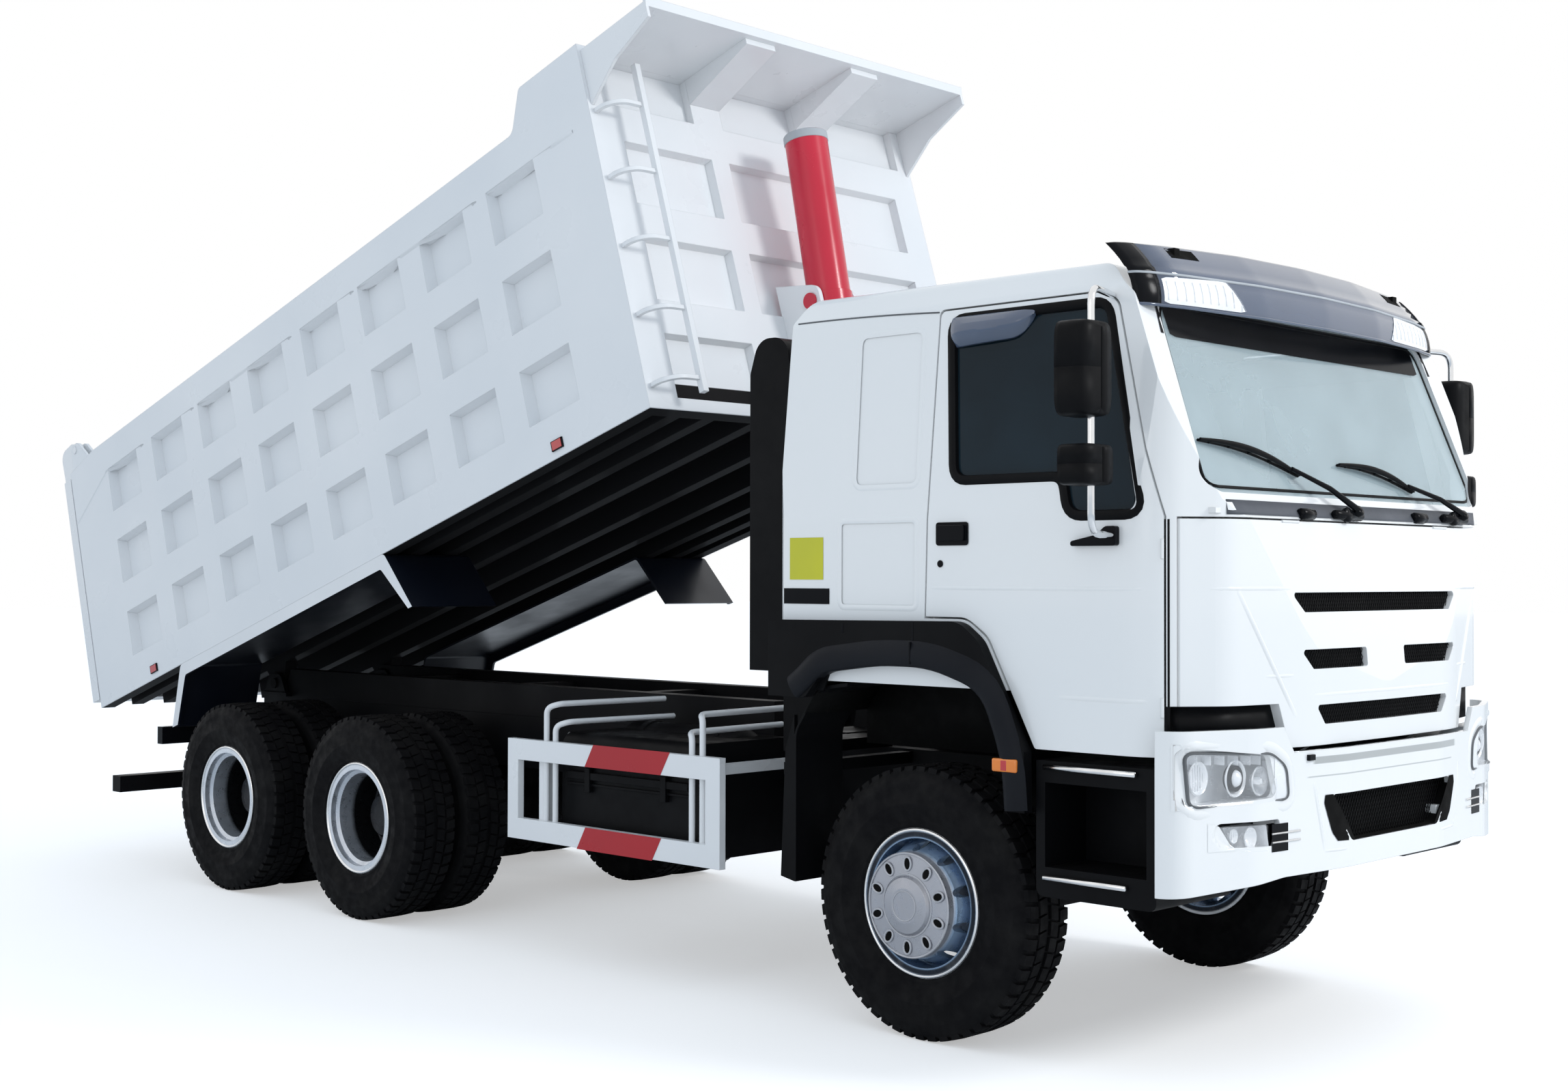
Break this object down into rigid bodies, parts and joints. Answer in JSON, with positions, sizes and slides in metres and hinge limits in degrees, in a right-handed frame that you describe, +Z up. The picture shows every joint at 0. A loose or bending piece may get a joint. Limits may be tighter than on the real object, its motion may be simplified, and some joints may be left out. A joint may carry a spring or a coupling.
{
  "type": "dump truck",
  "caption": "White six-by-four dump truck with a flat-fronted tilting cab, a raised steel tipping bed with pressed bays, a front telescopic hoist and a top-hung tailgate.",
  "frame": {"origin": "centre of the bounding box in plan, at the ground under the tyres", "axes": "+X to the front of the truck, +Y to its left, +Z up"},
  "size_m": [8.9757, 3.06, 4.4748],
  "materials": {
    "cab_paint": "gloss white",
    "bed_paint": "gloss white",
    "frame_black": "satin black",
    "axle_black": "rough black paint",
    "wheel_silver": "silver paint",
    "tyre_rubber": "matt",
    "tinted_glass": "clear, faint grey tint",
    "lamp_lens": "clear lens",
    "smoke_plastic": "dark, glossy",
    "black_plastic": "grained",
    "grey_metal": "semi-gloss grey",
    "hoist_red": "gloss red",
    "hoist_chrome": "polished rod",
    "lamp_red": "red lens",
    "trim_fabric": "woven seat cloth"
  },
  "bodies": {
    "chassis": {"frame": "frame_black", "subframe": "frame_black", "bumper": "cab_paint", "front_lamps": "lamp_lens", "front_axle": "axle_black", "springs": "axle_black", "rear_axles": "axle_black", "engine_block": "axle_black", "driveline": "axle_black", "radiator": "frame_black", "fuel_tank": "frame_black", "battery_box": "frame_black", "side_guards": "bed_paint", "steps": "black_plastic", "mudguards": "black_plastic", "air_intake": "black_plastic", "hoist_base": "grey_metal", "underrun": "bed_paint", "tail_lamps": "lamp_red"},
    "cab": {"cab_shell": "cab_paint", "cab_glass": "tinted_glass", "visor": "smoke_plastic", "fender_flares": "black_plastic", "wipers": "black_plastic", "cab_interior": "trim_fabric"},
    "door_r": {"door_right": "cab_paint", "door_glass_right": "tinted_glass", "mirror_right": "black_plastic"},
    "door_l": {"door_left": "cab_paint", "door_glass_left": "tinted_glass", "mirror_left": "black_plastic"},
    "flap": {"front_flap": "cab_paint", "flap_grille": "black_plastic"},
    "bed": {"bed_body": "bed_paint", "canopy": "bed_paint", "bed_fenders": "bed_paint", "ladder": "bed_paint"},
    "rear_gate": {"tailgate": "bed_paint"},
    "barrel": {"hoist_barrel": "hoist_red"},
    "stage_1": {"hoist_stage_1": "hoist_chrome"},
    "stage_2": {"hoist_stage_2": "hoist_chrome"},
    "stage_3": {"hoist_stage_3": "hoist_chrome"},
    "stage_4": {"hoist_stage_4": "hoist_chrome"},
    "knuckle_r": {"knuckle_right": "axle_black"},
    "knuckle_l": {"knuckle_left": "axle_black"},
    "track_rod": {"tie_rod": "axle_black"},
    "wheel_front_right": {"tyre_front_right": "tyre_rubber", "rim_front_right": "wheel_silver"},
    "wheel_front_left": {"tyre_front_left": "tyre_rubber", "rim_front_left": "wheel_silver"},
    "wheel_middle_right": {"tyre_middle_right": "tyre_rubber", "rim_middle_right": "wheel_silver"},
    "wheel_middle_left": {"tyre_middle_left": "tyre_rubber", "rim_middle_left": "wheel_silver"},
    "wheel_rear_right": {"tyre_rear_right": "tyre_rubber", "rim_rear_right": "wheel_silver"},
    "wheel_rear_left": {"tyre_rear_left": "tyre_rubber", "rim_rear_left": "wheel_silver"}
  },
  "joints": [
    {"name": "bed_tip", "type": "hinge", "parent": "chassis", "child": "bed", "pos_m": [-2.8721, 0, 1.138], "axis": [0, -1, 0], "range_deg": [-17, 30]},
    {"name": "tailgate_swing", "type": "hinge", "parent": "bed", "child": "rear_gate", "pos_m": [-4.24888, 0, 2.64847], "axis": [0, 1, 0], "range_deg": [0, 65]},
    {"name": "hoist_swing", "type": "hinge", "parent": "bed", "child": "barrel", "pos_m": [1.51505, 0, 3.17153], "axis": [0, -1, 0], "range_deg": [-14, 8]},
    {"name": "hoist_slide_1", "type": "slide", "parent": "barrel", "child": "stage_1", "axis": [0.1983, 0, -0.9801], "range_m": [-0.3425, 0.605]},
    {"name": "hoist_slide_2", "type": "slide", "parent": "stage_1", "child": "stage_2", "axis": [0.1983, 0, -0.9801], "range_m": [-0.3425, 0.605]},
    {"name": "hoist_slide_3", "type": "slide", "parent": "stage_2", "child": "stage_3", "axis": [0.1983, 0, -0.9801], "range_m": [-0.3425, 0.605]},
    {"name": "hoist_slide_4", "type": "slide", "parent": "stage_3", "child": "stage_4", "axis": [0.1983, 0, -0.9801], "range_m": [-0.3425, 0.605]},
    {"name": "cab_tilt", "type": "hinge", "parent": "chassis", "child": "cab", "pos_m": [4.3379, 0, 1.25], "axis": [0, 1, 0], "range_deg": [0, 45]},
    {"name": "door_right_swing", "type": "hinge", "parent": "cab", "child": "door_r", "pos_m": [4.1979, -1.162, 2], "axis": [0, 0, 1], "range_deg": [0, 70]},
    {"name": "door_left_swing", "type": "hinge", "parent": "cab", "child": "door_l", "pos_m": [4.1979, 1.162, 2], "axis": [0, 0, -1], "range_deg": [0, 70]},
    {"name": "front_flap_lift", "type": "hinge", "parent": "cab", "child": "flap", "pos_m": [4.3799, 0, 2.03], "axis": [0, -1, 0], "range_deg": [0, 60]},
    {"name": "steer_left", "type": "hinge", "parent": "chassis", "child": "knuckle_l", "pos_m": [3.0579, 0.85, 0.54], "axis": [0, 0, 1], "range_deg": [-35, 35]},
    {"name": "steer_right", "type": "hinge", "parent": "chassis", "child": "knuckle_r", "pos_m": [3.0579, -0.85, 0.54], "axis": [0, 0, 1], "range_deg": [-35, 35]},
    {"name": "tie_rod_pivot", "type": "hinge", "parent": "knuckle_l", "child": "track_rod", "pos_m": [2.8679, 0.85, 0.4], "axis": [0, 0, 1], "range_deg": [-35, 35]},
    {"name": "spin_front_right", "type": "hinge", "parent": "knuckle_r", "child": "wheel_front_right", "pos_m": [3.0579, -1.01, 0.54], "axis": [0, 1, 0], "continuous": true},
    {"name": "spin_front_left", "type": "hinge", "parent": "knuckle_l", "child": "wheel_front_left", "pos_m": [3.0579, 1.01, 0.54], "axis": [0, 1, 0], "continuous": true},
    {"name": "spin_middle_right", "type": "hinge", "parent": "chassis", "child": "wheel_middle_right", "pos_m": [-0.7671, -0.93, 0.54], "axis": [0, 1, 0], "continuous": true},
    {"name": "spin_middle_left", "type": "hinge", "parent": "chassis", "child": "wheel_middle_left", "pos_m": [-0.7671, 0.93, 0.54], "axis": [0, 1, 0], "continuous": true},
    {"name": "spin_rear_right", "type": "hinge", "parent": "chassis", "child": "wheel_rear_right", "pos_m": [-2.1171, -0.93, 0.54], "axis": [0, 1, 0], "continuous": true},
    {"name": "spin_rear_left", "type": "hinge", "parent": "chassis", "child": "wheel_rear_left", "pos_m": [-2.1171, 0.93, 0.54], "axis": [0, 1, 0], "continuous": true}
  ],
  "couplings": [
    {"joint": "hoist_swing", "follows": "bed_tip", "ratio": -0.455},
    {"joint": "hoist_slide_1", "follows": "bed_tip", "m_per_rad": 1.1531},
    {"joint": "hoist_slide_2", "follows": "bed_tip", "m_per_rad": 1.1531},
    {"joint": "hoist_slide_3", "follows": "bed_tip", "m_per_rad": 1.1531},
    {"joint": "hoist_slide_4", "follows": "bed_tip", "m_per_rad": 1.1531},
    {"joint": "steer_right", "follows": "steer_left", "ratio": 1},
    {"joint": "tie_rod_pivot", "follows": "steer_left", "ratio": -1}
  ]
}
